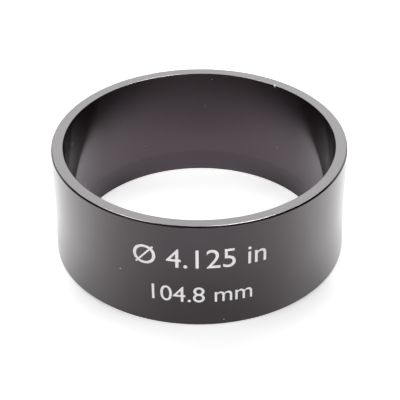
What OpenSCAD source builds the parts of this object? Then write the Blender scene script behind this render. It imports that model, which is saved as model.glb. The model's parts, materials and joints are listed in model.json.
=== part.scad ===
// Tapered piston ring compressor: one sleeve, turned from bar and standing mouth up.
// The piston goes in at the wide mouth, the taper closes its rings little by little,
// and the straight land at the foot hands them on to the cylinder under it.
// Sizes in millimetres. The origin is the centre of the foot, and +Z runs up the axis.

/* [Bore] */
// Diameter of the straight land: the cylinder bore that the sleeve is made for
bore_d = 104.775; // [76.2:0.005:127]
// Height of the straight land above the foot
land_h = 9.525; // [4:0.005:20]
// How much wider the bore is at the mouth than at the land, on the diameter
mouth_gain = 6.35; // [3:0.05:12]

/* [Wall] */
// Height of the sleeve from foot to rim
sleeve_h = 47.625; // [35:0.005:75]
// Width of the rim, from the corner of the mouth to the outside
rim_w = 4.7625; // [3:0.0125:10]

/* [Edges] */
// Chamfer round the outside of the rim
rim_chamfer = 0.635; // [0.2:0.005:1]
// Chamfer round the outside of the foot
foot_chamfer = 0.8; // [0.2:0.05:1.5]
// Radius that leads the rings over the edge of the mouth
lead_in_r = 0.2; // [0.1:0.05:1]
// Small chamfer where the land leaves through the foot
exit_break = 0.1; // [0.05:0.05:0.3]

/* [Hidden] */
$fn = 180;
bore_r = bore_d / 2;
mouth_r = bore_r + mouth_gain / 2;
outer_r = mouth_r + rim_w;
// Lean of the tapered bore from the axis
taper_angle = atan((mouth_r - bore_r) / (sleeve_h - land_h));
// Centre of the lead-in arc, which touches both the rim and the taper
lead_in_centre = [
    mouth_r + lead_in_r * tan((90 - taper_angle) / 2),
    sleeve_h - lead_in_r
];

// The corner that the lead-in takes off the mouth: all that lies outside its arc,
// between the arc's radius up to the rim and its radius across to the taper
module lead_in_cut() {
    up = 2 * lead_in_r * [0, 1];
    across = 2 * lead_in_r * [-cos(taper_angle), sin(taper_angle)];
    translate(lead_in_centre)
    difference() {
        polygon([[0, 0], up, up + across, across]);
        circle(r = lead_in_r);
    }
}

// Section of the wall: radius across, height up
module wall_section() {
    difference() {
        polygon([
            [bore_r + exit_break, 0],
            [outer_r - foot_chamfer, 0],
            [outer_r, foot_chamfer],
            [outer_r, sleeve_h - rim_chamfer],
            [outer_r - rim_chamfer, sleeve_h],
            [mouth_r, sleeve_h],
            [bore_r, land_h],
            [bore_r, exit_break]
        ]);
        lead_in_cut();
    }
}

// The whole tool: the wall section turned about the axis
module sleeve() {
    color("#4a4548")
    rotate_extrude()
    wall_section();
}

sleeve();
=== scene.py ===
import json
import math

import bmesh
import bpy
from mathutils import Matrix, Vector


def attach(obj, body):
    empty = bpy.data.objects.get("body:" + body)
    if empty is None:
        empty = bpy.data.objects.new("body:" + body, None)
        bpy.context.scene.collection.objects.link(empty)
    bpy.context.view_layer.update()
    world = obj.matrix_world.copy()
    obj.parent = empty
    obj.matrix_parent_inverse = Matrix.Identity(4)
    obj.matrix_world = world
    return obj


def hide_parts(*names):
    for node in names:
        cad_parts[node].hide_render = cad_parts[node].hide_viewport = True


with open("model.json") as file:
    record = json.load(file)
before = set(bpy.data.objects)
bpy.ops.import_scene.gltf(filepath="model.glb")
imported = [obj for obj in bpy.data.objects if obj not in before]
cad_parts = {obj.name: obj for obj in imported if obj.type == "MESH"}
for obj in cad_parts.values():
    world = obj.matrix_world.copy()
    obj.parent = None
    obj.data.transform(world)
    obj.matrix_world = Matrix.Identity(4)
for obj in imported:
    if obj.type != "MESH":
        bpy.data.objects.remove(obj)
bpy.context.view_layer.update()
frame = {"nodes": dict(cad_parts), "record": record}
mm = 0.001
inch = 0.0254
print("frame: nodes", sorted(frame["nodes"]))


# one colour, written as on a colour chip, in the renderer's linear light
def linear(hexCode):
    channels = [int(hexCode[i:i + 2], 16) / 255 for i in (1, 3, 5)]
    return [c / 12.92 if c <= 0.04045 else ((c + 0.055) / 1.055) ** 2.4 for c in channels] + [1]


# adds a node, sets its options, and fills or links its sockets by name or number
def addNode(tree, kind, sockets=None, **options):
    node = tree.nodes.new(kind)
    for option, value in options.items():
        setattr(node, option, value)
    for socket, value in (sockets or {}).items():
        if isinstance(value, bpy.types.NodeSocket):
            tree.links.new(value, node.inputs[socket])
        else:
            node.inputs[socket].default_value = value
    return node


def emptyMaterial(name):
    material = bpy.data.materials.new(name)
    material.use_nodes = True
    material.node_tree.nodes.clear()
    return material, material.node_tree


# the sleeve, turned in one piece; its sizes follow the CAD part
bore = next(m for m in frame["record"]["mounts"] if m["name"] == "bore")
width, _, height = frame["record"]["size"]["bbox_m"]
sleeve = {
    "outerRadius": width / 2,
    "height": height,
    "boreRadius": bore["dims"]["r_mm"] * mm,
    "rimWidth": 4.7625 * mm,
    "rimChamfer": 0.635 * mm,
    "footChamfer": 0.8 * mm,
    "leadIn": 0.18 * mm,  # how far the round of the mouth's edge reaches
    "exitBreak": 0.1 * mm,
    "taperBlend": 2.5 * mm,  # the tool's soft turn from taper to land
    "crownRound": 0.14 * mm,  # where the rim turns over into its chamfer
    "edgeRound": 0.03 * mm,  # what handling and the acid bath leave of a sharp corner
    "turnSteps": 320,
    "seam": 0.001 * mm,  # where the turn closes on itself
    "blendSteps": 8,
    "roundSteps": 6,
    "edgeSteps": 2,
    "endSlope": 0.9,  # least upright part of the normal on the two ends
    "edgeSlope": 0.3,  # and on the edges round the rim
    "surfaces": ["outside", "end", "taper", "land", "edge"],  # in the order of the material slots
}
sleeve["mouthRadius"] = sleeve["outerRadius"] - sleeve["rimWidth"]
sleeve["landHeight"] = bore["dims"]["length_mm"] * mm + sleeve["exitBreak"]


# ring edges of the turned body that lie at a radius and a height
def ringEdges(mesh, radius, z, near=0.004 * mm):
    def onRing(vert):
        return abs(vert.co.xy.length - radius) < near and abs(vert.co.z - z) < near
    return [e for e in mesh.edges if all(onRing(v) for v in e.verts)]


# one segment makes a chamfer, more make a round
def bevelRing(mesh, radius, z, reach, segments=1):
    bmesh.ops.bevel(mesh, geom=ringEdges(mesh, radius, z), offset=reach, offset_type="OFFSET",
                    affect="EDGES", segments=segments, profile=0.5, material=-1, clamp_overlap=False)


def makeSleeve(s):
    mesh = bmesh.new()
    corners = [(s["boreRadius"], 0), (s["outerRadius"], 0), (s["outerRadius"], s["height"]),
               (s["mouthRadius"], s["height"]), (s["boreRadius"], s["landHeight"])]
    section = [mesh.verts.new((0, -r, z)) for r, z in corners]
    lines = [mesh.edges.new((section[i - 1], section[i])) for i in range(len(section))]
    bmesh.ops.spin(mesh, geom=section + lines, cent=(0, 0, 0), axis=(0, 0, 1),
                   angle=2 * math.pi, steps=s["turnSteps"], use_merge=True)
    bmesh.ops.remove_doubles(mesh, verts=mesh.verts, dist=s["seam"])
    bmesh.ops.recalc_face_normals(mesh, faces=mesh.faces)

    bevelRing(mesh, s["boreRadius"], s["landHeight"], s["taperBlend"], s["blendSteps"])
    bevelRing(mesh, s["mouthRadius"], s["height"], s["leadIn"], s["roundSteps"])
    bevelRing(mesh, s["outerRadius"], s["height"], s["rimChamfer"])
    bevelRing(mesh, s["outerRadius"], 0, s["footChamfer"])
    bevelRing(mesh, s["boreRadius"], 0, s["exitBreak"])
    bevelRing(mesh, s["outerRadius"] - s["rimChamfer"], s["height"], s["crownRound"], s["roundSteps"])
    sharpCorners = [(s["outerRadius"], s["height"] - s["rimChamfer"]),
                    (s["outerRadius"], s["footChamfer"]),
                    (s["outerRadius"] - s["footChamfer"], 0)]
    for radius, z in sharpCorners:
        bevelRing(mesh, radius, z, s["edgeRound"], s["edgeSteps"])

    for face in mesh.faces:
        face.smooth = True
        centre = face.calc_center_median()
        surface = "outside"
        if abs(face.normal.z) > s["endSlope"]:
            surface = "end"
        elif face.normal.z > s["edgeSlope"]:
            surface = "edge"
        elif centre.xy.dot(face.normal.xy) < 0:
            surface = "taper" if centre.z > s["landHeight"] else "land"
        face.material_index = s["surfaces"].index(surface)
    print("sleeve:", len(mesh.faces), "faces")

    data = bpy.data.meshes.new("sleeve_turned")
    mesh.to_mesh(data)
    mesh.free()
    piece = bpy.data.objects.new("sleeve_turned", data)
    bpy.context.scene.collection.objects.link(piece)
    # large faces keep their own normals, so that only the small rounds bend the light
    flat = piece.modifiers.new("flat_faces", "WEIGHTED_NORMAL")
    flat.mode = "FACE_AREA"
    flat.weight = 50
    return piece


# Black anodised aluminium: a hard oxide film, dyed through, over fine turning marks.
# The eye gets a near-black body that mirrors the floor in a violet-brown tone, and the turning marks
# draw each reflection out across them: up and down on the walls, in and out on the rim.
anodised = {
    "dye": "#140c0e",
    "dyeDeep": "#0a0607",
    "cloud": 18 * mm,
    "grain": 0.5 * mm,  # really about 0.05 mm, drawn coarser so that it shows
    "grainHeight": 0.01 * mm,
    "grainStrength": 0.1,
    "ringSpacing": 0.45 * mm,  # really about 0.1 mm, drawn coarser so that it shows
    "ringStrength": 0.3,
    "clearIndex": 1.6,
    "unevenness": (0.6, 1.4),  # cloud and grain together, from the smoothest spot to the roughest
    "satinSpread": 0.12,  # how far the roughness strays there, as a share
    "wearAndGlint": "#d5d1cd",  # film rubbed thin along corners and hairlines; paler than bare aluminium, so that along the corners it is also a painted highlight
    "wearAndGlintPatch": 12 * mm,
    "wearAndGlintEdge": (0.45, 0.6),  # noise levels between which a patch sets in
    "wearLeast": 0.25,  # wear, and its painted highlight, between the patches
    "scratchSpacing": 4 * mm,
    "scratchLength": 12,  # in widths
    "scratchCore": 0.3,  # share of its width that is worn through
    "lint": "#e6e3e1",
    "lintSpacing": 9 * mm,
    "lintCore": 0.5,
    "bare": "#cfccc8",  # aluminium where the film is chipped off
    "chipTurn": 36.3,  # degrees right of the back, at the mouth
    "chipDrop": 0.2 * mm,
    "chipSize": 0.75 * mm,
    "chipCore": 0.7,
}
chipTurn = math.radians(anodised["chipTurn"])
anodised["chipPlace"] = (sleeve["mouthRadius"] * math.sin(chipTurn),
                         sleeve["mouthRadius"] * math.cos(chipTurn),
                         sleeve["height"] - anodised["chipDrop"])

# corners of the section that get rubbed, where the pale rubbed band is also a painted highlight: radius and
# height
rimCorner = (sleeve["outerRadius"] - sleeve["rimChamfer"], sleeve["height"])
mouthCorner = (sleeve["mouthRadius"], sleeve["height"])
footCorner = (sleeve["outerRadius"], sleeve["footChamfer"])
exitCorner = (sleeve["boreRadius"], sleeve["exitBreak"])

# film is the index of the oxide, drawn how far the turning marks stretch a reflection, and clear the
# sealed layer on top; lint and scratches are drawn coarser than real ones, so that they show
# rubbed is how far the pale band at each rubbed corner reaches: wear, and painted highlight on those edges
finishes = {
    # long upright reflections under a clear gloss
    "outside": {
        "name": "anodised_turned_outside", "tangent": "up", "film": 1.6, "tint": "#ffe9f7",
        "roughness": 0.24, "drawn": 0.8, "clear": 1.0, "clearRoughness": 0.08,
        "ringDepth": 0.003 * mm, "rubbedAndGlint": 0.07 * mm, "rubbedAndGlintCorners": [footCorner],
        "lint": 0.3 * mm, "scratch": 0.08 * mm},
    # an even grey sheen all round the rim
    "end": {
        "name": "anodised_faced_end", "tangent": "out", "film": 1.6, "tint": "#fff6fd",
        "roughness": 0.32, "drawn": 0.1, "clear": 0.9, "clearRoughness": 0.25,
        "ringDepth": 0.005 * mm, "rubbedAndGlint": 0.12 * mm, "rubbedAndGlintCorners": [rimCorner, mouthCorner],
        "lint": 0.2 * mm, "scratch": 0.04 * mm},
    # a soft mirror of the floor, drawn up and down
    "taper": {
        "name": "anodised_turned_taper", "tangent": "up", "film": 1.6, "tint": "#ffe9f6",
        "roughness": 0.15, "drawn": 0.95, "clear": 0.0, "clearRoughness": 0.06,
        "ringDepth": 0.002 * mm, "rubbedAndGlint": 0.07 * mm, "rubbedAndGlintCorners": [mouthCorner],
        "lint": 0.5 * mm, "scratch": 0.18 * mm},
    # the same, a little darker: a shaded copy, whose lower film index is painted shade for the darker floor
    # by the wall that the land mirrors
    "land": {
        "name": "anodised_honed_land_painted_shade", "tangent": "up", "film": 1.56, "tint": "#ffe9f6",
        "roughness": 0.15, "drawn": 0.95, "clear": 0.0, "clearRoughness": 0.06,
        "ringDepth": 0.002 * mm, "rubbedAndGlint": 0.07 * mm, "rubbedAndGlintCorners": [exitCorner],
        "lint": 0.5 * mm, "scratch": 0.18 * mm},
    # thin glints beside a dark line, from the side boxes and in part from the pale band painted along the
    # corners
    "edge": {
        "name": "anodised_broken_edge", "tangent": "out", "film": 1.6, "tint": "#ffe9f7",
        "roughness": 0.2, "drawn": 0.0, "clear": 1.0, "clearRoughness": 0.12,
        "ringDepth": 0.002 * mm, "rubbedAndGlint": 0.06 * mm, "rubbedAndGlintCorners": [rimCorner, mouthCorner],
        "lint": 0.2 * mm, "scratch": 0.04 * mm},
}


# where the film is worn, near the corners of the section, in patches, and along hairlines; the bands at the
# corners are also painted highlight along the edges
def wearAndGlintShare(tree, a, f, place, radius, height):
    spot = addNode(tree, "ShaderNodeCombineXYZ", {"X": radius, "Y": height}).outputs[0]
    nearest = 1.0
    for corner in f["rubbedAndGlintCorners"]:
        gap = addNode(tree, "ShaderNodeVectorMath", {0: spot, 1: (*corner, 0)},
                      operation="DISTANCE").outputs["Value"]
        nearest = addNode(tree, "ShaderNodeMath", {0: gap, 1: nearest}, operation="MINIMUM").outputs[0]
    rubbedAndGlint = addNode(tree, "ShaderNodeMapRange", {
        "Value": nearest, "From Min": 0.0, "From Max": f["rubbedAndGlint"], "To Min": 1.0, "To Max": 0.0})
    patch = addNode(tree, "ShaderNodeTexNoise",
                    {"Vector": place, "Scale": 1 / a["wearAndGlintPatch"], "Detail": 4.0})
    patchy = addNode(tree, "ShaderNodeMapRange", {
        "Value": patch.outputs["Fac"], "From Min": a["wearAndGlintEdge"][0], "From Max": a["wearAndGlintEdge"][1],
        "To Min": a["wearLeast"], "To Max": 1.0})
    corners = addNode(tree, "ShaderNodeMath", {0: rubbedAndGlint.outputs[0], 1: patchy.outputs[0]},
                      operation="MULTIPLY")

    # hairlines that pistons leave along the axis
    squeezed = addNode(tree, "ShaderNodeVectorMath", {0: place, 1: (1, 1, 1 / a["scratchLength"])},
                       operation="MULTIPLY").outputs[0]
    hairs = addNode(tree, "ShaderNodeTexVoronoi", {"Vector": squeezed, "Scale": 1 / a["scratchSpacing"]})
    scratch = f["scratch"] / a["scratchSpacing"]
    scratched = addNode(tree, "ShaderNodeMapRange", {
        "Value": hairs.outputs["Distance"], "From Min": a["scratchCore"] * scratch, "From Max": scratch,
        "To Min": 1.0, "To Max": 0.0})
    return addNode(tree, "ShaderNodeMath", {0: corners.outputs[0], 1: scratched.outputs[0]},
                   operation="MAXIMUM").outputs[0]


# the dye, then what is worn, with the painted highlight along the corners, a few specks of lint, and one
# chip at the mouth's edge
def anodisedColour(tree, a, f, place, cloud, wearAndGlint):
    specks = addNode(tree, "ShaderNodeTexVoronoi", {"Vector": place, "Scale": 1 / a["lintSpacing"]})
    lint = f["lint"] / a["lintSpacing"]
    linty = addNode(tree, "ShaderNodeMapRange", {
        "Value": specks.outputs["Distance"], "From Min": a["lintCore"] * lint, "From Max": lint,
        "To Min": 1.0, "To Max": 0.0})
    chipGap = addNode(tree, "ShaderNodeVectorMath", {0: place, 1: a["chipPlace"]}, operation="DISTANCE")
    chipped = addNode(tree, "ShaderNodeMapRange", {
        "Value": chipGap.outputs["Value"], "From Min": a["chipCore"] * a["chipSize"],
        "From Max": a["chipSize"], "To Min": 1.0, "To Max": 0.0})
    colour = addNode(tree, "ShaderNodeMix", {0: cloud, 6: linear(a["dyeDeep"]), 7: linear(a["dye"])},
                     data_type="RGBA").outputs[2]
    for share, shade in ((wearAndGlint, "wearAndGlint"), (linty.outputs[0], "lint"), (chipped.outputs[0], "bare")):
        colour = addNode(tree, "ShaderNodeMix", {0: share, 6: colour, 7: linear(a[shade])},
                         data_type="RGBA").outputs[2]
    return colour


def makeAnodised(a, f):
    material, tree = emptyMaterial(f["name"])
    place = addNode(tree, "ShaderNodeTexCoord").outputs["Object"]
    height = addNode(tree, "ShaderNodeSeparateXYZ", {0: place}).outputs["Z"]
    flatPlace = addNode(tree, "ShaderNodeVectorMath", {0: place, 1: (1, 1, 0)},
                        operation="MULTIPLY").outputs[0]
    radius = addNode(tree, "ShaderNodeVectorMath", {0: flatPlace}, operation="LENGTH").outputs["Value"]
    if f["tangent"] == "up":
        along = height
        across = addNode(tree, "ShaderNodeCombineXYZ", {"Z": 1.0}).outputs[0]
    else:
        along = radius
        across = addNode(tree, "ShaderNodeVectorMath", {0: flatPlace}, operation="NORMALIZE").outputs[0]

    cloud = addNode(tree, "ShaderNodeTexNoise", {
        "Vector": place, "Scale": 1 / a["cloud"], "Detail": 3.0, "Roughness": 0.55}).outputs["Fac"]
    grain = addNode(tree, "ShaderNodeTexNoise", {
        "Vector": place, "Scale": 1 / a["grain"], "Detail": 2.0, "Roughness": 0.6}).outputs["Fac"]
    toolRings = addNode(tree, "ShaderNodeTexNoise", {
        "W": along, "Scale": 1 / a["ringSpacing"], "Detail": 2.0}, noise_dimensions="1D").outputs["Fac"]
    wearAndGlint = wearAndGlintShare(tree, a, f, place, radius, height)
    colour = anodisedColour(tree, a, f, place, cloud, wearAndGlint)
    uneven = addNode(tree, "ShaderNodeMath", {0: grain, 1: cloud}, operation="ADD")
    satin = addNode(tree, "ShaderNodeMapRange", {
        "Value": uneven.outputs[0], "From Min": a["unevenness"][0], "From Max": a["unevenness"][1],
        "To Min": f["roughness"] * (1 - a["satinSpread"]),
        "To Max": f["roughness"] * (1 + a["satinSpread"])})
    grainBump = addNode(tree, "ShaderNodeBump", {
        "Height": grain, "Strength": a["grainStrength"], "Distance": a["grainHeight"]})
    relief = addNode(tree, "ShaderNodeBump", {
        "Height": toolRings, "Strength": a["ringStrength"], "Distance": f["ringDepth"],
        "Normal": grainBump.outputs["Normal"]}).outputs["Normal"]
    shader = addNode(tree, "ShaderNodeBsdfPrincipled", {
        "Base Color": colour, "Roughness": satin.outputs[0], "IOR": f["film"],
        "Specular Tint": linear(f["tint"]), "Anisotropic": f["drawn"], "Tangent": across,
        "Coat Weight": f["clear"], "Coat Roughness": f["clearRoughness"], "Coat IOR": a["clearIndex"],
        "Normal": relief, "Coat Normal": relief})
    addNode(tree, "ShaderNodeOutputMaterial", {"Surface": shader.outputs["BSDF"]})
    return material


body = makeSleeve(sleeve)
for surface in sleeve["surfaces"]:
    body.data.materials.append(makeAnodised(anodised, finishes[surface]))
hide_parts("sleeve")
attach(body, "root")


# size mark: the bore in plain numbers, burnt into the dye on the front
mark = {
    "lines": ["Ø %.3f in" % (2 * sleeve["boreRadius"] / inch),
              "%.1f mm" % (2 * sleeve["boreRadius"] / mm)],
    "sizes": [12.5 * mm, 10.5 * mm],
    "heights": [32 * mm, 15 * mm],  # middle of each line above the foot
    "proud": 0.02 * mm,
    "thickness": 0.06 * mm,
    "strip": 0.8 * mm,  # the letters are cut into strips this wide to follow the wall
    "onCut": 0.0001 * mm,  # corners this near to a cut count as on it
    "sliver": 0.002 * mm,  # what is smaller than this is merged away
}


def makeLine(text, size, z):
    curve = bpy.data.curves.new("line", "FONT")
    curve.body = text
    curve.size = size
    curve.align_x = "CENTER"
    curve.align_y = "CENTER"
    holder = bpy.data.objects.new("line", curve)
    bpy.context.scene.collection.objects.link(holder)
    bpy.context.view_layer.update()
    finished = holder.evaluated_get(bpy.context.evaluated_depsgraph_get())
    flat = bpy.data.meshes.new_from_object(finished)
    flat.transform(Matrix.Translation((0, z, 0)))
    bpy.data.objects.remove(holder)
    bpy.data.curves.remove(curve)
    return flat


def makeMark(m, radius):
    mesh = bmesh.new()
    for text, size, z in zip(m["lines"], m["sizes"], m["heights"]):
        flat = makeLine(text, size, z)
        mesh.from_mesh(flat)
        bpy.data.meshes.remove(flat)
    bmesh.ops.remove_doubles(mesh, verts=mesh.verts, dist=m["sliver"])
    reach = max(abs(v.co.x) for v in mesh.verts)
    cuts = int(reach / m["strip"])
    for i in range(-cuts, cuts + 1):
        bmesh.ops.bisect_plane(mesh, geom=mesh.verts[:] + mesh.edges[:] + mesh.faces[:],
                               dist=m["onCut"], plane_co=(i * m["strip"], 0, 0), plane_no=(1, 0, 0))
    bmesh.ops.dissolve_degenerate(mesh, edges=mesh.edges, dist=m["sliver"])
    top = radius + m["proud"]
    for v in mesh.verts:
        angle = v.co.x / radius
        v.co = Vector((top * math.sin(angle), -top * math.cos(angle), v.co.y))
    # the faces have to point outwards before they get their thickness, which goes into the wall
    mesh.normal_update()
    inward = [f for f in mesh.faces if f.normal.xy.dot(f.calc_center_median().xy) < 0]
    bmesh.ops.reverse_faces(mesh, faces=inward)
    bmesh.ops.solidify(mesh, geom=mesh.faces[:], thickness=m["thickness"])
    bmesh.ops.recalc_face_normals(mesh, faces=mesh.faces)
    print("size mark:", len(mesh.faces), "faces")

    data = bpy.data.meshes.new("size_mark")
    mesh.to_mesh(data)
    mesh.free()
    piece = bpy.data.objects.new("size_mark", data)
    bpy.context.scene.collection.objects.link(piece)
    return piece


# Laser-marked oxide: the beam bleaches the dye to a chalky pale grey, laid down in fine passes
bleached = {
    "pale": "#dcdbda",
    "palest": "#f2f1f0",
    "passSpacing": 1.0 * mm,  # really about 0.05 mm, drawn coarser so that it shows
    "passWaver": 0.3,
    "waveUnit": 20,  # radians that the wave node counts to a unit
    "dust": 0.6 * mm,
    "roughness": 0.7,
}


def makeBleached(b):
    material, tree = emptyMaterial("laser_bleached_oxide")
    place = addNode(tree, "ShaderNodeTexCoord").outputs["Object"]
    passes = addNode(tree, "ShaderNodeTexWave", {
        "Vector": place, "Scale": 2 * math.pi / (b["waveUnit"] * b["passSpacing"]),
        "Distortion": b["passWaver"]}, bands_direction="Z")
    dust = addNode(tree, "ShaderNodeTexNoise", {"Vector": place, "Scale": 1 / b["dust"], "Detail": 3.0})
    blend = addNode(tree, "ShaderNodeMath", {0: passes.outputs["Fac"], 1: dust.outputs["Fac"]},
                    operation="MULTIPLY")
    colour = addNode(tree, "ShaderNodeMix", {
        0: blend.outputs[0], 6: linear(b["pale"]), 7: linear(b["palest"])}, data_type="RGBA")
    shader = addNode(tree, "ShaderNodeBsdfPrincipled", {
        "Base Color": colour.outputs[2], "Roughness": b["roughness"]})
    addNode(tree, "ShaderNodeOutputMaterial", {"Surface": shader.outputs["BSDF"]})
    return material


sizeMark = makeMark(mark, sleeve["outerRadius"])
sizeMark.data.materials.append(makeBleached(bleached))
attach(sizeMark, "root")


# Studio: a white sweep, a large soft light behind and above, a low card in front, and a soft box
# on each side that only gloss sees, for the glints on the edges.
# The floor's glow changes with the bearing from the sleeve: about -1 in front of it, 0 beside it and
# 1 behind it. A ramp runs from one bearing to another. A band has a middle, how far it is full on
# either side, and where it is gone.
studio = {
    "floorRadius": 6.0,
    "floorSides": 64,
    "floorDrop": 0.02 * mm,  # a hair under the foot, so that the two faces don't lie in one plane
    "floorColour": "#f4f4f4",
    "axisBlur": 10 * mm,  # keeps the bearing from jumping at the axis
    "wallMargin": 1 * mm,  # how far under the wall the floor inside ends
    # what the camera sees
    "floorSeen": 0.8,
    "farFloor": (0.3, 0.6),  # metres over which the floor turns plain white, away from the lights
    "insideSeen": 0.87,
    "insideShadeSeen": 0.3,  # share of insideShade that shows there
    "sideShade": (0.31, 17 * mm),  # how much the foot hides on either side of the front, and how far out
    "sideBand": (-0.57, 0.0, 0.45),
    # what gloss sees outside the sleeve
    "mirroredFront": 0.13,
    "mirroredSide": 0.65,
    "mirroredBack": 0.12,
    "frontRamp": (-0.9, -0.32),
    "backRamp": (0.3, 0.85),
    "contact": (0.5, 20 * mm),  # how much of it the foot hides, and how far out
    "contactBand": (-0.25, 0.25, 0.42),
    # what gloss sees inside it
    "mirroredInside": (0.62, 1.44),  # at the front and at the back
    "insideRamp": (-0.8, 0.65),
    "insideBend": 2,  # power that makes the ramp rise late
    "insideShade": (0.6, 18 * mm),  # how much of it the side walls hide, and how far in
    "mirroredTwice": 0.3,  # what a second mirror leaves of it there
    "wallBand": (0.3, 0.34, 0.52),
    # the room above the floor
    "ambient": 0.1,
    "horizon": 14.0,  # degrees up to which the white sweep reaches in reflections
    "dark": 24.0,  # degrees from which the room is dark in them
    "sweepGlow": 0.8,
    "roomGlow": 0.016,
    # turn is in degrees clockwise from the front, seen from above
    "backLight": {"size": (2.0, 1.1), "elevation": 48.0, "turn": 174.0, "distance": 1.25, "radiance": 2.65},
    "leftBox": {"size": (0.6, 0.4), "elevation": 62.0, "turn": 84.0, "distance": 1.2, "radiance": 18.0},
    "rightBox": {"size": (0.6, 0.4), "elevation": 74.0, "turn": -80.0, "distance": 1.2, "radiance": 34.0},
    "frontCard": {"size": (2.0, 0.14), "place": (0, -0.9, 0.07), "radiance": 11.0},
}


# how far a spot of the floor lies within a band of bearings
def bandShare(tree, bearing, band, blend="LINEAR"):
    middle, full, gone = band
    off = addNode(tree, "ShaderNodeMath", {0: bearing, 1: middle}, operation="SUBTRACT").outputs[0]
    off = addNode(tree, "ShaderNodeMath", {0: off}, operation="ABSOLUTE").outputs[0]
    return addNode(tree, "ShaderNodeMapRange", {
        "Value": off, "From Min": full, "From Max": gone, "To Min": 1.0, "To Max": 0.0},
        interpolation_type=blend).outputs[0]


# glow of the floor round the sleeve, as gloss sees it
def mirroredAround(tree, st, s, bearing, radius):
    front = addNode(tree, "ShaderNodeMapRange", {
        "Value": bearing, "From Min": st["frontRamp"][0], "From Max": st["frontRamp"][1],
        "To Min": st["mirroredFront"], "To Max": st["mirroredSide"]}).outputs[0]
    back = addNode(tree, "ShaderNodeMapRange", {
        "Value": bearing, "From Min": st["backRamp"][0], "From Max": st["backRamp"][1],
        "To Min": 0.0, "To Max": st["mirroredSide"] - st["mirroredBack"]}).outputs[0]
    around = addNode(tree, "ShaderNodeMath", {0: front, 1: back}, operation="SUBTRACT").outputs[0]
    hidden = addNode(tree, "ShaderNodeMapRange", {
        "Value": radius, "From Min": s["outerRadius"], "From Max": s["outerRadius"] + st["contact"][1],
        "To Min": st["contact"][0], "To Max": 0.0}).outputs[0]
    flank = bandShare(tree, bearing, st["contactBand"])
    hidden = addNode(tree, "ShaderNodeMath", {0: hidden, 1: flank}, operation="MULTIPLY").outputs[0]
    clear = addNode(tree, "ShaderNodeMath", {0: 1.0, 1: hidden}, operation="SUBTRACT").outputs[0]
    return addNode(tree, "ShaderNodeMath", {0: around, 1: clear}, operation="MULTIPLY").outputs[0]


# glow of the floor inside the sleeve, as gloss sees it
def mirroredWithin(tree, st, bearing, glossyDepth, beside, wallShade):
    backward = addNode(tree, "ShaderNodeMapRange", {
        "Value": bearing, "From Min": st["insideRamp"][0], "From Max": st["insideRamp"][1]}).outputs[0]
    backward = addNode(tree, "ShaderNodeMath", {0: backward, 1: st["insideBend"]},
                       operation="POWER").outputs[0]
    within = addNode(tree, "ShaderNodeMapRange", {
        "Value": backward, "To Min": st["mirroredInside"][0], "To Max": st["mirroredInside"][1]}).outputs[0]
    clear = addNode(tree, "ShaderNodeMath", {0: 1.0, 1: wallShade}, operation="SUBTRACT").outputs[0]
    within = addNode(tree, "ShaderNodeMath", {0: within, 1: clear}, operation="MULTIPLY").outputs[0]
    again = addNode(tree, "ShaderNodeMapRange", {
        "Value": glossyDepth, "From Min": 1.0, "From Max": 2.0,
        "To Min": 0.0, "To Max": 1.0 - st["mirroredTwice"]}).outputs[0]
    again = addNode(tree, "ShaderNodeMath", {0: again, 1: beside}, operation="MULTIPLY").outputs[0]
    once = addNode(tree, "ShaderNodeMath", {0: 1.0, 1: again}, operation="SUBTRACT").outputs[0]
    return addNode(tree, "ShaderNodeMath", {0: within, 1: once}, operation="MULTIPLY").outputs[0]


# glow of the floor as the camera sees it
def floorSeen(tree, st, s, bearing, radius, isOuter, wallShade):
    inside = addNode(tree, "ShaderNodeMath", {0: wallShade, 1: -st["insideShadeSeen"], 2: st["insideSeen"]},
                     operation="MULTIPLY_ADD").outputs[0]
    outside = addNode(tree, "ShaderNodeMapRange", {
        "Value": radius, "From Min": st["farFloor"][0], "From Max": st["farFloor"][1],
        "To Min": st["floorSeen"], "To Max": 1.0}).outputs[0]
    bare = addNode(tree, "ShaderNodeMix", {0: isOuter, 2: inside, 3: outside}, data_type="FLOAT").outputs[0]
    nearFoot = addNode(tree, "ShaderNodeMapRange", {
        "Value": radius, "From Min": s["outerRadius"], "From Max": s["outerRadius"] + st["sideShade"][1],
        "To Min": st["sideShade"][0], "To Max": 0.0}).outputs[0]
    aside = bandShare(tree, bearing, st["sideBand"], "SMOOTHSTEP")
    shade = addNode(tree, "ShaderNodeMath", {0: nearFoot, 1: aside}, operation="MULTIPLY").outputs[0]
    return addNode(tree, "ShaderNodeMath", {0: bare, 1: shade}, operation="SUBTRACT").outputs[0]


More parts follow.
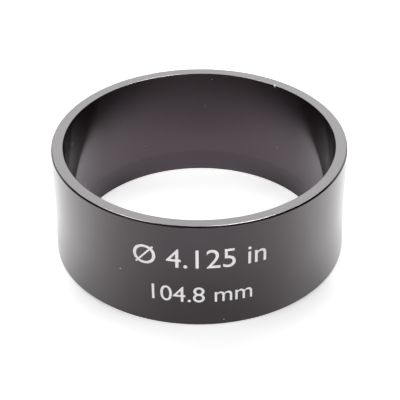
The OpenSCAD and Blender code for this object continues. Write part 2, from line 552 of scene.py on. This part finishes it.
# White paper sweep: matt and pale, with a glow of its own that only the camera and gloss see
def makeSweep(st, s):
    material, tree = emptyMaterial("white_sweep")
    path = addNode(tree, "ShaderNodeLightPath")
    place = addNode(tree, "ShaderNodeTexCoord").outputs["Object"]
    radius = addNode(tree, "ShaderNodeVectorMath", {0: place}, operation="LENGTH").outputs["Value"]
    depth = addNode(tree, "ShaderNodeSeparateXYZ", {0: place}).outputs["Y"]
    reach = addNode(tree, "ShaderNodeMath", {0: radius, 1: st["axisBlur"]}, operation="ADD").outputs[0]
    bearing = addNode(tree, "ShaderNodeMath", {0: depth, 1: reach}, operation="DIVIDE").outputs[0]
    isOuter = addNode(tree, "ShaderNodeMath", {0: radius, 1: s["boreRadius"] + st["wallMargin"]},
                      operation="GREATER_THAN").outputs[0]
    nearWall = addNode(tree, "ShaderNodeMapRange", {
        "Value": radius, "From Min": s["boreRadius"] - st["insideShade"][1], "From Max": s["boreRadius"],
        "To Min": 0.0, "To Max": st["insideShade"][0]}).outputs[0]
    beside = bandShare(tree, bearing, st["wallBand"])
    wallShade = addNode(tree, "ShaderNodeMath", {0: nearWall, 1: beside}, operation="MULTIPLY").outputs[0]

    around = mirroredAround(tree, st, s, bearing, radius)
    within = mirroredWithin(tree, st, bearing, path.outputs["Glossy Depth"], beside, wallShade)
    mirrored = addNode(tree, "ShaderNodeMix", {0: isOuter, 2: within, 3: around}, data_type="FLOAT")
    seen = addNode(tree, "ShaderNodeMath", {
        0: path.outputs["Is Camera Ray"],
        1: floorSeen(tree, st, s, bearing, radius, isOuter, wallShade)}, operation="MULTIPLY")
    strength = addNode(tree, "ShaderNodeMath", {
        0: path.outputs["Is Glossy Ray"], 1: mirrored.outputs[0], 2: seen.outputs[0]},
        operation="MULTIPLY_ADD")
    glow = addNode(tree, "ShaderNodeEmission", {"Strength": strength.outputs[0]})
    matt = addNode(tree, "ShaderNodeBsdfDiffuse", {"Color": linear(st["floorColour"])})
    both = addNode(tree, "ShaderNodeAddShader", {0: matt.outputs[0], 1: glow.outputs[0]})
    addNode(tree, "ShaderNodeOutputMaterial", {"Surface": both.outputs[0]})
    return material


def makeFloor(st, s):
    mesh = bmesh.new()
    bmesh.ops.create_circle(mesh, cap_ends=True, segments=st["floorSides"], radius=st["floorRadius"],
                            matrix=Matrix.Translation((0, 0, -st["floorDrop"])))
    data = bpy.data.meshes.new("floor")
    mesh.to_mesh(data)
    mesh.free()
    floor = bpy.data.objects.new("floor", data)
    bpy.context.scene.collection.objects.link(floor)
    floor.data.materials.append(makeSweep(st, s))


def makeWorld(st):
    world = bpy.data.worlds.new("studio")
    bpy.context.scene.world = world
    world.use_nodes = True
    tree = world.node_tree
    tree.nodes.clear()
    path = addNode(tree, "ShaderNodeLightPath")
    direction = addNode(tree, "ShaderNodeTexCoord").outputs["Generated"]
    up = addNode(tree, "ShaderNodeSeparateXYZ", {0: direction}).outputs["Z"]
    sweep = addNode(tree, "ShaderNodeMapRange", {
        "Value": up, "From Min": math.sin(math.radians(st["horizon"])),
        "From Max": math.sin(math.radians(st["dark"])),
        "To Min": st["sweepGlow"], "To Max": st["roomGlow"]})
    mirrored = addNode(tree, "ShaderNodeMix", {
        0: path.outputs["Is Glossy Ray"], 2: st["ambient"], 3: sweep.outputs["Result"]}, data_type="FLOAT")
    seen = addNode(tree, "ShaderNodeMix", {
        0: path.outputs["Is Camera Ray"], 2: mirrored.outputs[0], 3: 1.0}, data_type="FLOAT")
    light = addNode(tree, "ShaderNodeBackground", {
        "Color": linear("#ffffff"), "Strength": seen.outputs[0]})
    addNode(tree, "ShaderNodeOutputWorld", {"Surface": light.outputs[0]})


# a soft light whose face glows at the radiance given
def softLight(name, light, place, aim, shape="RECTANGLE"):
    lamp = bpy.data.lights.new(name, "AREA")
    lamp.shape = shape
    lamp.size, lamp.size_y = light["size"]
    area = light["size"][0] * light["size"][1]
    if shape == "ELLIPSE":
        area *= math.pi / 4
    lamp.energy = light["radiance"] * math.pi * area
    holder = bpy.data.objects.new(name, lamp)
    holder.location = place
    holder.rotation_euler = (Vector(aim) - Vector(place)).to_track_quat("-Z", "Y").to_euler()
    holder.visible_camera = False
    bpy.context.scene.collection.objects.link(holder)
    return holder


def lightPlace(light):
    lift = math.radians(light["elevation"])
    turn = math.radians(light["turn"])
    return light["distance"] * Vector((-math.cos(lift) * math.sin(turn), -math.cos(lift) * math.cos(turn),
                                       math.sin(lift)))


def makeLights(st):
    centre = (0, 0, 0)
    softLight("back_softbox", st["backLight"], lightPlace(st["backLight"]), centre)
    # an ellipse, because its ends run out thin and leave no hard edge in reflections
    card = st["frontCard"]
    softLight("front_card", card, card["place"], (0, 0, card["place"][2]), "ELLIPSE")
    for name, box in (("left_softbox", st["leftBox"]), ("right_softbox", st["rightBox"])):
        holder = softLight(name, box, lightPlace(box), centre)
        holder.visible_diffuse = False


makeFloor(studio, sleeve)
makeWorld(studio)
makeLights(studio)
print("studio: floor, sweep and four soft lights")


# camera, fitted to the six edges of the ring that the photograph shows
shot = {
    "lens": 131.1,  # mm
    "sensor": 36,
    "elevation": 34.51,
    "distance": 610.6 * mm,
    "aim": (0.18 * mm, 0, 18.47 * mm),
    "roll": 0.41,  # degrees clockwise
}


def makeCamera(c):
    camera = bpy.data.cameras.new("camera")
    camera.lens = c["lens"]
    camera.sensor_width = c["sensor"]
    holder = bpy.data.objects.new("camera", camera)
    lift = math.radians(c["elevation"])
    back = Vector((0, -math.cos(lift), math.sin(lift)))
    holder.location = Vector(c["aim"]) + back * c["distance"]
    holder.rotation_euler = (-back).to_track_quat("-Z", "Y").to_euler()
    holder.rotation_euler.rotate_axis("Z", math.radians(-c["roll"]))
    bpy.context.scene.collection.objects.link(holder)
    bpy.context.scene.camera = holder


makeCamera(shot)
bpy.context.scene.view_settings.view_transform = "Standard"
